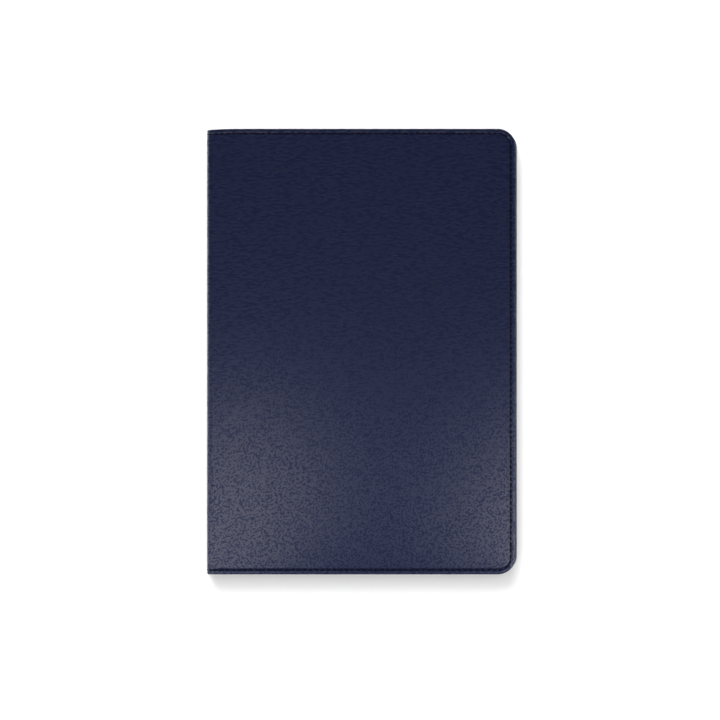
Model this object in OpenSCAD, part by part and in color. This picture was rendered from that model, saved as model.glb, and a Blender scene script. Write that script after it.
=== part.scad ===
// Folding cover for a tablet, with a wireless keyboard bonded inside the front cover.
// It lies closed on its back cover: X runs from the spine to the free edge, Y along the spine, Z up.
// The origin is the middle of the closed case's footprint, on the surface that it lies on.

/* [Covers] */
// Length of the case along the spine
cover_l = 255; // [250:0.5:280]
// Width of the front cover, from the spine's face to the free edge
front_w = 176.5; // [175:0.5:190]
// How far the back cover's free edge stands past the front cover's
back_overhang = 1.5; // [0:0.5:3]
// Radius of the covers' two free corners
corner_r = 10; // [7:0.5:14]
// Thickness of the leather skin
skin_t = 0.9; // [0.7:0.1:1.1]
// Thickness of the stiffener boards
board_t = 1.2; // [1:0.1:1.6]
// Thickness of the inner lining
lining_t = 0.5; // [0.4:0.1:0.6]
// Width of the sewn rim outside the boards
rim_w = 3.8; // [3.4:0.1:4.4]
// Distance of the seam from the cover's edge
seam_in = 2.7; // [2.2:0.1:3]
// Outer radius of the leather where it bends round the spine
bend_r = 3; // [2.6:0.1:3.4]
// Distance from the spine's face to the fold of the stand flap
crease_from_spine = 84; // [80:1:92]

/* [Tablet tray] */
// Length of the tablet that the tray holds
tablet_l = 243; // [236:0.5:244]
// Width of the tablet
tablet_w = 164; // [158:0.5:164]
// Thickness of the tablet
tablet_t = 8; // [7:0.1:10]
// Corner radius of the tablet
tablet_r = 7; // [5:0.5:9]
// Thickness of the tray's wall
tray_wall = 1.6; // [1.4:0.1:1.8]
// Thickness of the tray's floor
tray_floor = 1.2; // [1:0.1:1.6]
// Centre of the camera window, from the case's centre lines
camera_at = [64, 101]; // [50:1:66]
// Size of the camera window
camera_size = [18, 34]; // [14:1:34]

/* [Keyboard] */
// Length of the keyboard, along the spine
board_l = 236; // [234:0.5:240]
// Depth of the keyboard, from its front edge to its rear edge
board_d = 120; // [119:0.5:124]
// Distance between the middles of neighbouring keys in a row
key_pitch = 16.5; // [16.5:0.1:16.6]
// Distance between neighbouring rows
row_pitch = 17; // [16.8:0.1:17.1]
// Depth of the row of function keys
function_d = 10.5; // [9:0.5:11]
// How far a key travels
key_travel = 1.3; // [1:0.1:1.3]

/* [Hidden] */
$fn = 48;

// Heights in the closed stack, from the surface up
cover_t = skin_t + board_t + lining_t;
rim_drop = board_t;
adhesive_t = 0.4;
tray_z = cover_t + adhesive_t;
pad_t = 0.4;
lip_t = 1;
tray_h = tray_floor + pad_t + tablet_t + lip_t;
tray_top = tray_z + tray_h;
closed_gap = 0.8;
bond_t = 0.3;

// Keyboard heights, from its underside to its key tops
base_floor = 1;
plate_t = 0.4;
membrane_t = 0.3;
deck = base_floor + plate_t + membrane_t;
frame_low = 4.2;
frame_top = 5;
cap_low = 3.6;
cap_top = 5.9;
keyboard_z = tray_top + closed_gap + cap_top;
front_in = keyboard_z + bond_t;
case_t = front_in + cover_t;

// Places across the case
half_l = cover_l / 2;
case_w = front_w + back_overhang;
spine_x = -case_w / 2;
front_edge = spine_x + front_w;
back_edge = case_w / 2;
panel_x = spine_x + bend_r;
crease_x = spine_x + crease_from_spine;
channel = 2.5;
slit = 0.4;
bend_gap = 7.5;

// Tray
fit_gap = 0.4;
tray_w = tablet_w + fit_gap + 2 * tray_wall;
tray_l = tablet_l + fit_gap + 2 * tray_wall;
tray_x = spine_x + 5.1;
tray_r = tablet_r + fit_gap / 2 + tray_wall;
keeper_at = [60, 0];
keeper_size = [20, 60];
keeper_t = 0.5;
magnet_spread = 18;
magnet_r = 5;
closure_y = 45;
closure_l = 20;

// Keyboard, in its own frame: u to the typist's right, v away from the typist, w up
keyboard_x = front_edge - 3.5;
base_wall = 1.2;
rows_v = 5.5;
row_units = 14;
keys_u = -row_units * key_pitch / 2;
strip_v = rows_v + 5 * row_pitch + function_d;
cap_gap = 2.2;
window_gap = 0.4;
cap_r = 1.2;
cap_skin = 1;
boss_r = 1.6;
screw_r = 0.8;
head_r = screw_r + 0.5;
boss_at = concat([for (u = [-108, 0, 108]) [u, 3]], [for (u = [-100, -20, 104]) [u, strip_v + 15]]);
light_at = [for (k = [0:2]) [46 + 6 * k, strip_v + 6]];
light_r = 0.8;
button_at = [84, strip_v + 6];
button_r = 2.4;
button_travel = 0.6;
switch_v = strip_v + 0.5;
switch_slot = 6.5;
switch_travel = 2.5;
port_v = strip_v + 11.5;
port_w = 7.6;
port_h = 2.6;
port_depth = 6.2;
port_u = board_l / 2 - 0.2 - port_depth;
dome_r = 2.6;
post_r = 1.1;
board_w = 1.8;
board_h = 0.8;
board_top = board_w + board_h;

// Each row of keys, from the typist's end: its widths in key pitches
key_rows = [
    [1, 1, 1, 1, 5, 1, 1, 1, 1, 1],
    concat([2], [for (k = [1:10]) 1], [2]),
    concat([1.5], [for (k = [1:11]) 1], [1.5]),
    concat([1.25], [for (k = [1:12]) 1], [0.75]),
    concat([0.8], [for (k = [1:12]) 1], [1.2]),
    [for (k = [1:14]) 1]
];
split_key = [0, 8];

function sum_to(list, n) = n <= 0 ? 0 : list[n - 1] + sum_to(list, n - 1);
function row_v(row) = rows_v + row * row_pitch;
function row_d(row) = row == 5 ? function_d : row_pitch;

// The space that a key has: [u, v, width, depth], with both halves of the split key
function key_cells(row, k) =
    let (u = keys_u + key_pitch * sum_to(key_rows[row], k))
    let (w = key_pitch * key_rows[row][k])
    [row, k] == split_key
        ? [[u, row_v(row), w, row_pitch / 2], [u, row_v(row) + row_pitch / 2, w, row_pitch / 2]]
        : [[u, row_v(row), w, row_d(row)]];

function row_cells(row, first, last) = [for (k = [first:last]) each key_cells(row, k)];
all_cells = [for (row = [0:5]) each row_cells(row, 0, len(key_rows[row]) - 1)];

// A rectangle with round corners: radius r_lo at the low-X end and r_hi at the high-X end
module outline(x_lo, x_hi, y_half, r_lo, r_hi) {
    translate([x_lo + r_lo, -y_half]) square([x_hi - x_lo - r_lo - r_hi, 2 * y_half]);
    for (side = [-1, 1]) {
        if (r_lo > 0) translate([x_lo + r_lo, side * (y_half - r_lo)]) circle(r_lo);
        if (r_hi > 0) translate([x_hi - r_hi, side * (y_half - r_hi)]) circle(r_hi);
    }
    if (r_lo > 0) translate([x_lo, r_lo - y_half]) square([r_lo, 2 * (y_half - r_lo)]);
    if (r_hi > 0) translate([x_hi - r_hi, r_hi - y_half]) square([r_hi, 2 * (y_half - r_hi)]);
}

module slab(z_lo, z_hi) {
    translate([0, 0, z_lo]) linear_extrude(z_hi - z_lo) children();
}

// A rounded block centred on a point
module pill(at, size, r, z_lo, z_hi) {
    translate([at[0], at[1], 0]) slab(z_lo, z_hi)
        outline(-size[0] / 2, size[0] / 2, size[1] / 2, r, r);
}

// Turns a cover panel over, so that its outer face is on top of the closed case
module as_front() {
    translate([0, 0, case_t]) rotate([180, 0, 0]) children();
}

// Leather over a board: a raised field, a lower sewn rim, and a pocket for the board.
// Its outer face is down. rim_lo and rim_hi are the width of the rim at each end.
module panel_skin(x_lo, x_hi, rim_lo, rim_hi, r_hi) {
    field_hi = x_hi - rim_hi;
    difference() {
        union() {
            slab(rim_drop, skin_t + board_t) outline(x_lo, x_hi, half_l, 0, r_hi);
            slab(0, skin_t + board_t)
                outline(x_lo + rim_lo, field_hi, half_l - rim_w, 0, max(0, r_hi - rim_w));
        }
        slab(skin_t, skin_t + board_t + 1)
            outline(x_lo + rim_lo + 1, field_hi - 1, half_l - rim_w - 1, 0, max(0, r_hi - rim_w - 1));
    }
}

module panel_board(x_lo, x_hi, rim_lo, rim_hi, r_hi) {
    slab(skin_t, skin_t + board_t)
        outline(x_lo + rim_lo + 1.1, x_hi - rim_hi - 1.1, half_l - rim_w - 1.1,
            0, max(0, r_hi - rim_w - 1.1));
}

module panel_lining(x_lo, x_hi, r_hi) {
    slab(skin_t + board_t, cover_t) outline(x_lo, x_hi - 0.4, half_l - 0.4, 0, max(0, r_hi - 0.4));
}

// Seam thread laid on the rim, open at the low-X end, and at the high-X end too if r_hi is 0
module panel_thread(x_lo, x_hi, r_hi) {
    thread_w = 0.6;
    end_in = r_hi > 0 ? seam_in : 0;
    slab(rim_drop - 0.3, rim_drop) difference() {
        outline(x_lo, x_hi - end_in + thread_w / 2, half_l - seam_in + thread_w / 2,
            0, max(0, r_hi - seam_in + thread_w / 2));
        outline(
            x_lo - 1,
            r_hi > 0 ? x_hi - end_in - thread_w / 2 : x_hi + 1,
            half_l - seam_in - thread_w / 2,
            0,
            max(0, r_hi - seam_in - thread_w / 2)
        );
    }
}

// Half of the leather's bend from a cover onto the spine, between two angles seen along the spine
module skin_bend(a_lo, a_hi) {
    module arc(r_out, y_half) {
        reach = 2 * bend_r;
        rotate([90, 0, 0]) translate([0, 0, -y_half]) linear_extrude(2 * y_half) intersection() {
            difference() {
                circle(r_out);
                circle(r_out - skin_t);
            }
            polygon([
                [0, 0],
                reach * [cos(a_lo), sin(a_lo)],
                reach * [cos((a_lo + a_hi) / 2), sin((a_lo + a_hi) / 2)],
                reach * [cos(a_hi), sin(a_hi)]
            ]);
        }
    }
    arc(bend_r, half_l - rim_w);
    intersection() {
        arc(bend_r - rim_drop, half_l);
        difference() {
            cube([20, 2 * half_l, 20], center = true);
            cube([21, 2 * (half_l - rim_w), 21], center = true);
        }
    }
}

// ---- front cover ----
module front_skin() color([0.09, 0.10, 0.22]) {
    as_front() panel_skin(panel_x, front_edge, 0, rim_w, corner_r);
    translate([panel_x, 0, case_t - bend_r]) skin_bend(90, 135 - bend_gap);
}
module front_board() color([0.45, 0.40, 0.34])
    as_front() panel_board(panel_x, front_edge, 0.4, rim_w, corner_r);
module front_lining() color([0.12, 0.13, 0.20])
    as_front() panel_lining(panel_x + 0.8, front_edge, corner_r);
module front_thread() color([0.03, 0.03, 0.10])
    as_front() panel_thread(panel_x, front_edge, corner_r);

// ---- spine ----
spine_lo = bend_r;
spine_hi = case_t - bend_r;
// Stands a panel on its low-X end, so that its outer face is the spine's face
module as_spine() {
    translate([spine_x, 0, 0]) rotate([0, -90, 0]) rotate([180, 0, 0]) children();
}
module spine_skin() color([0.09, 0.10, 0.22]) {
    as_spine() panel_skin(spine_lo, spine_hi, 0, 0, 0);
    translate([panel_x, 0, spine_hi]) skin_bend(135 + bend_gap, 180);
    translate([panel_x, 0, spine_lo]) skin_bend(180, 225 - bend_gap);
}
module spine_board() color([0.45, 0.40, 0.34])
    as_spine() panel_board(spine_lo, spine_hi, 0, 0, 0);
module spine_lining() color([0.12, 0.13, 0.20])
    as_spine() panel_lining(spine_lo + 0.4, spine_hi, 0);
module spine_thread() color([0.03, 0.03, 0.10])
    as_spine() panel_thread(spine_lo, spine_hi, 0);

// ---- back cover: the fixed panel beside the spine, and the stand flap beyond the crease ----
module camera_hole(grow = 0) {
    translate([0, 0, -1]) pill(camera_at, camera_size + [2 * grow, 2 * grow], 6 + grow, 0, tray_z + 5);
}
module back_skin() color([0.09, 0.10, 0.22]) {
    panel_skin(panel_x, crease_x - slit, 0, channel - slit, 0);
    translate([panel_x, 0, bend_r]) skin_bend(225 + bend_gap, 270);
}
module back_board() color([0.45, 0.40, 0.34])
    panel_board(panel_x, crease_x - slit, 0.4, channel - slit, 0);
module back_lining() color([0.12, 0.13, 0.20])
    panel_lining(panel_x + 0.8, crease_x - slit + 0.4, 0);
module back_thread() color([0.03, 0.03, 0.10])
    panel_thread(panel_x, crease_x - slit, 0);

module stand_skin() color([0.09, 0.10, 0.22]) difference() {
    panel_skin(crease_x + slit, back_edge, channel - slit, rim_w, corner_r);
    camera_hole();
}
module stand_board() color([0.45, 0.40, 0.34]) difference() {
    panel_board(crease_x + slit, back_edge, channel - slit, rim_w, corner_r);
    camera_hole(1.5);
    for (side = [-1, 1])
        translate([keeper_at[0], side * magnet_spread, 0]) cylinder(r = magnet_r + 0.1, h = 5);
}
module stand_lining() color([0.12, 0.13, 0.20]) difference() {
    panel_lining(crease_x + slit, back_edge, corner_r);
    camera_hole();
}
module stand_thread() color([0.03, 0.03, 0.10])
    panel_thread(crease_x + slit, back_edge, corner_r);
module stand_magnets() color([0.75, 0.75, 0.78])
    for (side = [-1, 1])
        translate([keeper_at[0], side * magnet_spread, skin_t]) cylinder(r = magnet_r, h = board_t);

// ---- tablet tray ----
module tray_outline(grow = 0) {
    translate([tray_x - grow, 0])
        outline(0, tray_w + 2 * grow, tray_l / 2 + grow, tray_r + grow, tray_r + grow);
}
module tray() color([0.07, 0.07, 0.09]) {
    cavity_z = tray_z + tray_floor;
    lip_z = tray_top - lip_t;
    lip_in = 1.1;
    lip_run = 24;
    mid_x = tray_x + tray_w / 2;
    gap_z = cavity_z + 1.6;
    charging_gap = 18;
    headphone_gap = 9;
    side_key_gap = [62, 98];
    difference() {
        union() {
            difference() {
                slab(tray_z, tray_top) tray_outline();
                slab(cavity_z, tray_top + 1) tray_outline(-tray_wall);
            }
            // Retaining lips at the four corners
            difference() {
                slab(lip_z, tray_top) tray_outline(-tray_wall);
                slab(lip_z - 1, tray_top + 1) tray_outline(-tray_wall - lip_in);
                translate([mid_x - tray_w / 2 + lip_run, -tray_l, lip_z - 1])
                    cube([tray_w - 2 * lip_run, 2 * tray_l, 5]);
                translate([tray_x - 5, lip_run - tray_l / 2, lip_z - 1])
                    cube([tray_w + 10, tray_l - 2 * lip_run, 5]);
            }
        }
        camera_hole();
        // Recess for the steel plate that the stand's magnets hold to
        pill(keeper_at, keeper_size + [0.2, 0.2], 3.1, tray_z - 1, tray_z + keeper_t);
        // Charging port at one short side, and the headphone socket beside it
        translate([mid_x - charging_gap / 2, -tray_l, gap_z]) cube([charging_gap, tray_l, 20]);
        translate([mid_x + 32, -tray_l, gap_z]) cube([headphone_gap, tray_l, 20]);
        // Volume and power keys along the free edge
        translate([mid_x, side_key_gap[0], gap_z]) cube([tray_w, side_key_gap[1] - side_key_gap[0], 20]);
        // Speaker slots at both short sides
        for (side = [-1, 1]) for (k = [0:5]) for (x = [-62, 44])
            translate([mid_x + x + 3 * k, side * tray_l / 2 - 3, cavity_z + 2]) cube([1.5, 6, 3.2]);
        closure_slots(0.1);
    }
}
// The two steel strips in the tray's free wall, or with a margin the slots that they sit in
module closure_slots(grow = 0) {
    strip = [tray_wall / 2, closure_l, 2];
    for (side = [-1, 1])
        translate([tray_x + tray_w - tray_wall * 3 / 4, side * closure_y - closure_l / 2,
                tray_top - strip[2]])
            translate([-grow, -grow, -grow])
                cube([strip[0] + 2 * grow, strip[1] + 2 * grow, strip[2] + 2 * grow]);
}
module closure_keepers() color([0.75, 0.75, 0.78]) closure_slots();
module tray_pad() color([0.16, 0.17, 0.22]) difference() {
    slab(tray_z + tray_floor, tray_z + tray_floor + pad_t) tray_outline(-tray_wall - 3);
    camera_hole(1.5);
}
module tray_adhesive() color([0.85, 0.84, 0.80])
    translate([tray_x + 5, 6 - tray_l / 2, cover_t])
        cube([crease_x - channel - tray_x - 7, tray_l - 12, adhesive_t]);
module stand_keeper_plate() color([0.75, 0.75, 0.78])
    pill(keeper_at, keeper_size, 3, tray_z, tray_z + keeper_t);

// ---- keyboard ----
// Puts the keyboard's own frame in the case: face down, its front edge at the free edge
module as_keyboard() {
    translate([keyboard_x, 0, keyboard_z]) rotate([180, 0, -90]) children();
}
module block(u, v, w_lo, size_u, size_v, h) {
    translate([u, v, w_lo]) cube([size_u, size_v, h]);
}
// A rounded block in the keyboard's frame, from a cell [u, v, width, depth] shrunk on all sides
module cell_block(cell, shrink, r, w_lo, w_hi) {
    pill(
        [cell[0] + cell[2] / 2, cell[1] + cell[3] / 2],
        [cell[2] - 2 * shrink, cell[3] - 2 * shrink],
        r, w_lo, w_hi
    );
}
module deck_plan(shrink, v_lo, v_hi) {
    translate([shrink - board_l / 2, v_lo]) square([board_l - 2 * shrink, v_hi - v_lo]);
}
module board_plan(shrink) {
    translate([0, board_d / 2]) rotate(90)
        outline(shrink - board_d / 2, board_d / 2 - shrink, board_l / 2 - shrink, 4 - shrink, 4 - shrink);
}
module keyboard_base() color([0.20, 0.21, 0.24]) as_keyboard() difference() {
    union() {
        difference() {
            slab(0, frame_low) board_plan(0);
            slab(base_floor, frame_low + 1) board_plan(base_wall);
        }
        for (at = boss_at) translate([at[0], at[1], base_floor / 2])
            cylinder(r = boss_r, h = frame_low - base_floor / 2);
    }
    for (at = boss_at) translate([at[0], at[1], -1]) cylinder(r = screw_r + 0.05, h = frame_low + 2);
    for (at = boss_at) translate([at[0], at[1], -1]) cylinder(r = head_r + 0.05, h = 1.6);
    // Power switch slot and charging port mouth, both at the right-hand end
    block(board_l / 2 - 2, switch_v, 2.4, 4, switch_slot, 1.6);
    block(board_l / 2 - 2, port_v - port_w / 2 - 0.2, base_floor, 4, port_w + 0.4, port_h + 0.1);
}
module keyboard_frame() color([0.16, 0.17, 0.20]) as_keyboard() difference() {
    slab(frame_low, frame_top) board_plan(0);
    for (cell = all_cells)
        cell_block(cell, cap_gap / 2 - window_gap, cap_r + window_gap, frame_low - 1, frame_top + 1);
    for (at = light_at) translate([at[0], at[1], 0]) cylinder(r = light_r, h = 10);
    translate([button_at[0], button_at[1], 0]) cylinder(r = button_r + 0.3, h = 10);
    for (at = boss_at) translate([at[0], at[1], frame_low - 1]) cylinder(r = screw_r + 0.05, h = 1.6);
}
module keyboard_screws() color([0.70, 0.70, 0.72]) as_keyboard() for (at = boss_at)
    translate([at[0], at[1], 0.05]) difference() {
        union() {
            cylinder(r = head_r, h = 0.5);
            cylinder(r = screw_r, h = 4.6);
        }
        // Cross recess
        translate([-0.9, -0.15, -1]) cube([1.8, 0.3, 1.25]);
        translate([-0.15, -0.9, -1]) cube([0.3, 1.8, 1.25]);
    }
deck_v_lo = rows_v - 0.4;
deck_v_hi = strip_v + 0.6;
module key_support_plate() color([0.72, 0.73, 0.75]) as_keyboard()
    slab(base_floor, base_floor + plate_t) deck_plan(base_wall + 0.3, deck_v_lo, deck_v_hi);
module membrane() color([0.80, 0.82, 0.78]) as_keyboard() {
    slab(base_floor + plate_t, deck) deck_plan(base_wall + 0.3, deck_v_lo, deck_v_hi);
    // Tail that reaches the controller board
    block(-8, deck_v_hi - 0.01, base_floor + plate_t, 16, 2.2, membrane_t);
}
module rubber_domes() color([0.85, 0.85, 0.82]) as_keyboard() for (cell = all_cells)
    translate([cell[0] + cell[2] / 2, cell[1] + cell[3] / 2, deck]) {
        foot = 0.3;
        cylinder(r = dome_r, h = foot);
        translate([0, 0, foot]) cylinder(r1 = dome_r - 0.6, r2 = post_r, h = cap_low - deck - foot);
    }
// The folded cross-links under each key: a square ring round its dome
module scissor_clips() color([0.90, 0.90, 0.90]) as_keyboard() for (cell = all_cells)
    translate([cell[0] + cell[2] / 2, cell[1] + cell[3] / 2, deck]) {
        link_u = 9.2;
        link_v = min(8.4, cell[3] - cap_gap - 1.4);
        difference() {
            translate([-link_u / 2, -link_v / 2, 0]) cube([link_u, link_v, 0.45]);
            cylinder(r = dome_r + 0.2, h = 3, center = true);
        }
    }
module battery() color([0.55, 0.56, 0.58]) as_keyboard() block(-92, strip_v + 2, base_floor, 62, 10.5, 2.6);
module battery_leads() color([0.70, 0.10, 0.08]) as_keyboard() for (v = [5, 8])
    translate([-30, strip_v + v, base_floor + 1.2]) rotate([0, 90, 0]) cylinder(r = 0.4, h = 14);
module controller_board() color([0.05, 0.30, 0.16]) as_keyboard() difference() {
    union() {
        block(-16, strip_v + 3, board_w, 116, 10, board_h);
        block(100, strip_v + 3, board_w, port_u - 100, 14.6, board_h);
        // Connector, radio module and charging chip
        block(-8, strip_v + 3.2, board_top, 16, 2.4, 0.9);
        block(16, strip_v + 4, board_top, 14, 8, 1.2);
        block(66, strip_v + 8, board_top, 5, 4, 0.8);
    }
    translate([boss_at[5][0], boss_at[5][1], 0]) cylinder(r = boss_r + 0.3, h = 10);
}
module charging_port() color([0.78, 0.78, 0.80]) as_keyboard() difference() {
    shell = 0.35;
    block(port_u, port_v - port_w / 2, base_floor, port_depth, port_w, port_h);
    block(port_u + 1, port_v - port_w / 2 + shell, base_floor + shell,
        port_depth, port_w - 2 * shell, port_h - 2 * shell);
}
module power_switch() color([0.06, 0.06, 0.07]) as_keyboard() {
    block(board_l / 2 - 3.2, switch_v + 0.2, 2.65, 1.8, switch_slot - 0.3 - switch_travel, 1.2);
    block(board_l / 2 - 1.5, switch_v + 0.9, 2.75, 1.9, switch_slot - 1.9 - switch_travel, 0.9);
}
module pairing_button() color([0.85, 0.86, 0.88]) as_keyboard()
    translate([button_at[0], button_at[1], board_top + button_travel])
        cylinder(r = button_r, h = frame_top + 0.3 - board_top - button_travel);
module light_pipes() color([0.85, 0.90, 0.95]) as_keyboard() for (at = light_at)
    translate([at[0], at[1], board_top]) cylinder(r = light_r - 0.05, h = frame_top - board_top);
module bonding_pads() color([0.85, 0.84, 0.80]) as_keyboard() for (u = [-70, 0, 70])
    block(u - 25, 14, -bond_t, 50, 88, bond_t);
module closure_magnets() color([0.75, 0.75, 0.78]) as_keyboard() for (side = [-1, 1])
    block(side * closure_y - closure_l / 2, base_wall + 0.3, base_floor, closure_l, 3, 2.4);
module screen_bumpers() color([0.05, 0.05, 0.06]) as_keyboard()
    for (u = [5 - board_l / 2, board_l / 2 - 5]) for (v = [3, board_d - 4])
        translate([u, v, frame_top]) cylinder(r1 = 1.9, r2 = 1.4, h = cap_top + 0.2 - frame_top);

// Key caps: hollow, with a post that stands on the rubber dome
module caps(cells) color([0.10, 0.10, 0.12]) as_keyboard() for (cell = cells) {
    at = [cell[0] + cell[2] / 2, cell[1] + cell[3] / 2];
    difference() {
        cell_block(cell, cap_gap / 2, cap_r, cap_low, cap_top);
        cell_block(cell, cap_gap / 2 + 0.8, 0.6, cap_low - 1, cap_top - cap_skin);
    }
    translate([at[0], at[1], cap_low]) cylinder(r = post_r, h = cap_top - cap_skin / 2 - cap_low);
}
module space_bar() caps(row_cells(0, 4, 4));
module modifier_keys() caps(concat(row_cells(0, 0, 3), row_cells(0, 5, 6)));
module arrow_keys() caps(row_cells(0, 7, 9));
module left_shift_key() caps(row_cells(1, 0, 0));
module lower_letter_keys() caps(row_cells(1, 1, 10));
module right_shift_key() caps(row_cells(1, 11, 11));
module caps_lock_key() caps(row_cells(2, 0, 0));
module home_letter_keys() caps(row_cells(2, 1, 11));
module enter_key() caps(row_cells(2, 12, 12));
module tab_key() caps(row_cells(3, 0, 0));
module upper_letter_keys() caps(row_cells(3, 1, 13));
module number_keys() caps(row_cells(4, 0, 12));
module backspace_key() caps(row_cells(4, 13, 13));
module function_keys() caps(row_cells(5, 0, 13));

front_skin();
front_board();
front_lining();
front_thread();
spine_skin();
spine_board();
spine_lining();
spine_thread();
back_skin();
back_board();
back_lining();
back_thread();
stand_skin();
stand_board();
stand_lining();
stand_thread();
stand_magnets();
tray();
tray_pad();
tray_adhesive();
stand_keeper_plate();
closure_keepers();
keyboard_base();
keyboard_frame();
key_support_plate();
membrane();
rubber_domes();
scissor_clips();
battery();
battery_leads();
controller_board();
charging_port();
power_switch();
pairing_button();
light_pipes();
keyboard_screws();
bonding_pads();
closure_magnets();
screen_bumpers();
space_bar();
modifier_keys();
arrow_keys();
left_shift_key();
lower_letter_keys();
right_shift_key();
caps_lock_key();
home_letter_keys();
enter_key();
tab_key();
upper_letter_keys();
number_keys();
backspace_key();
function_keys();
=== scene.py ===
import math

import bmesh
import bpy
import numpy as np
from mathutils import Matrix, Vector


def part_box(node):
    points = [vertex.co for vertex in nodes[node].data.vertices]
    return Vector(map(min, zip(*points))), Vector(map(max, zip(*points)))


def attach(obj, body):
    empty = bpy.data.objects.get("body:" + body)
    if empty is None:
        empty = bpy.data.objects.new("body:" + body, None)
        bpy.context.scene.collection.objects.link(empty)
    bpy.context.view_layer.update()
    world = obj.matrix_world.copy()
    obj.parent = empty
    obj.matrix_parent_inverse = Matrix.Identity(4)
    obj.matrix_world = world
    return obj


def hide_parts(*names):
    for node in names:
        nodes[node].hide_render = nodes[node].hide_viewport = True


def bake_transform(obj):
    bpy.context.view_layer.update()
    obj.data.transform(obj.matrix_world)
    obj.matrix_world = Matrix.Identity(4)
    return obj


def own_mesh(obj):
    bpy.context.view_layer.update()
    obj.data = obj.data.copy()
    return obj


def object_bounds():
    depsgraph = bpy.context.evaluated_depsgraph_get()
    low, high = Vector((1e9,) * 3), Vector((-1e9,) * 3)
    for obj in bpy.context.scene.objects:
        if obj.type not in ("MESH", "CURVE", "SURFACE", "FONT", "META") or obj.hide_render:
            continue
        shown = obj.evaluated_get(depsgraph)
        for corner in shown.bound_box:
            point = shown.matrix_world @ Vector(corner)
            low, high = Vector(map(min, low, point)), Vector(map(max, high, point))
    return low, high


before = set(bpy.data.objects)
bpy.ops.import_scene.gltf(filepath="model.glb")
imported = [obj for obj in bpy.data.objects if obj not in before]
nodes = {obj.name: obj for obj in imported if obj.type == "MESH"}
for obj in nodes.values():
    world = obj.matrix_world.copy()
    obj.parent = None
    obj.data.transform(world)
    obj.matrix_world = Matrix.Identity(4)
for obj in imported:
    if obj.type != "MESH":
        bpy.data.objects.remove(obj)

cad_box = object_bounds()

# ---- Leather of the covers and spine ----
# Navy grained leather wraps the front cover, the spine and the back cover. It is glued over stiff boards,
# turned in at the cut edges and sewn 2.6 mm from them, so that a plump rim stands outside the seam.
MM = 0.001
spine_face, floor_z = cad_box[0][0], cad_box[0][2]
back_edge, half_length, case_top = cad_box[1]
front_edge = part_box("front_skin")[1][0]
crease_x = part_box("back_skin")[1][0] + 0.4 * MM
bend = 3 * MM
fold_x = spine_face + bend
corner = 10 * MM
seam_in = 2.6 * MM
stitch_length = 3.4 * MM
quarter = bend * math.pi / 2
top_fold = front_edge - fold_x
spine_top = top_fold + quarter
spine_low = spine_top + case_top - 2 * bend
back_start = spine_low + quarter
whole_run = back_start + back_edge - fold_x
spine_middle = (spine_top + spine_low) / 2
crease_run = back_start + crease_x - fold_x
panel_split = back_start + 46 * MM


def case_path(run):
    """Point (x, z) and outward direction (nx, nz) at a distance along the leather's outer face from the
    front cover's free edge: over the front, a quarter circle, down the spine, a quarter circle, along the
    back."""
    turn_a = np.clip((run - top_fold) / quarter, 0, 1) * math.pi / 2
    turn_b = np.clip((run - spine_low) / quarter, 0, 1) * math.pi / 2
    down = np.clip(run - spine_top, 0, spine_low - spine_top)
    x = front_edge - np.minimum(run, top_fold) - bend * np.sin(turn_a)
    x = x + bend * (1 - np.cos(turn_b)) + np.maximum(run - back_start, 0)
    z = case_top - bend * (1 - np.cos(turn_a)) - down - bend * np.sin(turn_b)
    angle = math.pi / 2 + turn_a + turn_b
    return x, z, np.cos(angle), np.sin(angle)


def ease(t):
    """0 below 0, 1 above 1, and the cubic 3t^2 - 2t^3 between."""
    t = np.clip(t, 0, 1)
    return t * t * (3 - 2 * t)


def hump(t):
    """A bell of height 1 at t = 0: e to the power -t squared."""
    return np.exp(-t * t)


def fold_share(run):
    """1 where the leather bends round the spine's two edges and 0 on the flat, with 1 mm between."""
    in_a = ease((run - top_fold) / MM + 1.2) * ease((spine_top - run) / MM + 1.2)
    in_b = ease((run - spine_low) / MM + 1.2) * ease((back_start - run) / MM + 1.2)
    return np.maximum(in_a, in_b)


def round_lip(edge, r):
    """Depth of an edge rounded over r, at a distance from that edge."""
    return r - np.sqrt(np.maximum(r * r - np.maximum(r - edge, 0) ** 2, 0))


def outer_depth(run, edge):
    """How far the leather's outer face lies below its highest place, at a distance from the cut edge: a
    round turned edge, a plump rim, the sewn valley, a small step, and a field that rises slowly inwards. On
    the spine all of this is flatter. The stand flap's crease is a pressed groove."""
    on_spine = ease((run - top_fold) / (7 * MM) + 1.4) * ease((back_start - run) / (7 * MM) + 1.4)
    rim = (0.22 - 0.12 * on_spine) * MM * (1 - ease((edge / MM - 2.75) / 0.8))
    plump = (-0.24 + 0.14 * on_spine) * MM * hump((edge / MM - 1.35) / 0.75)
    crown = (0.34 - 0.26 * on_spine) * MM * np.exp(-np.maximum(edge / MM - 3.2, 0) / 6.5)
    valley = 0.36 * MM * hump((edge - seam_in) / (0.48 * MM))
    groove = 1.1 * MM * (1 - ease((np.abs(run - crease_run) / MM - 0.8) / 2.0))
    return np.maximum(rim + crown, groove) + plump + valley + round_lip(edge, 0.55 * MM)


def inner_depth(run, edge):
    """Depth of the leather's inner side: 0.9 mm over the boards and folds, 2.1 mm where it is turned in."""
    on_board = ease((edge / MM - 4.0) / 0.8) * ease((np.abs(run - crease_run) / MM - 2.7) / 0.8)
    return (2.1 - 1.2 * on_board) * MM - round_lip(edge, 0.4 * MM)


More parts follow.
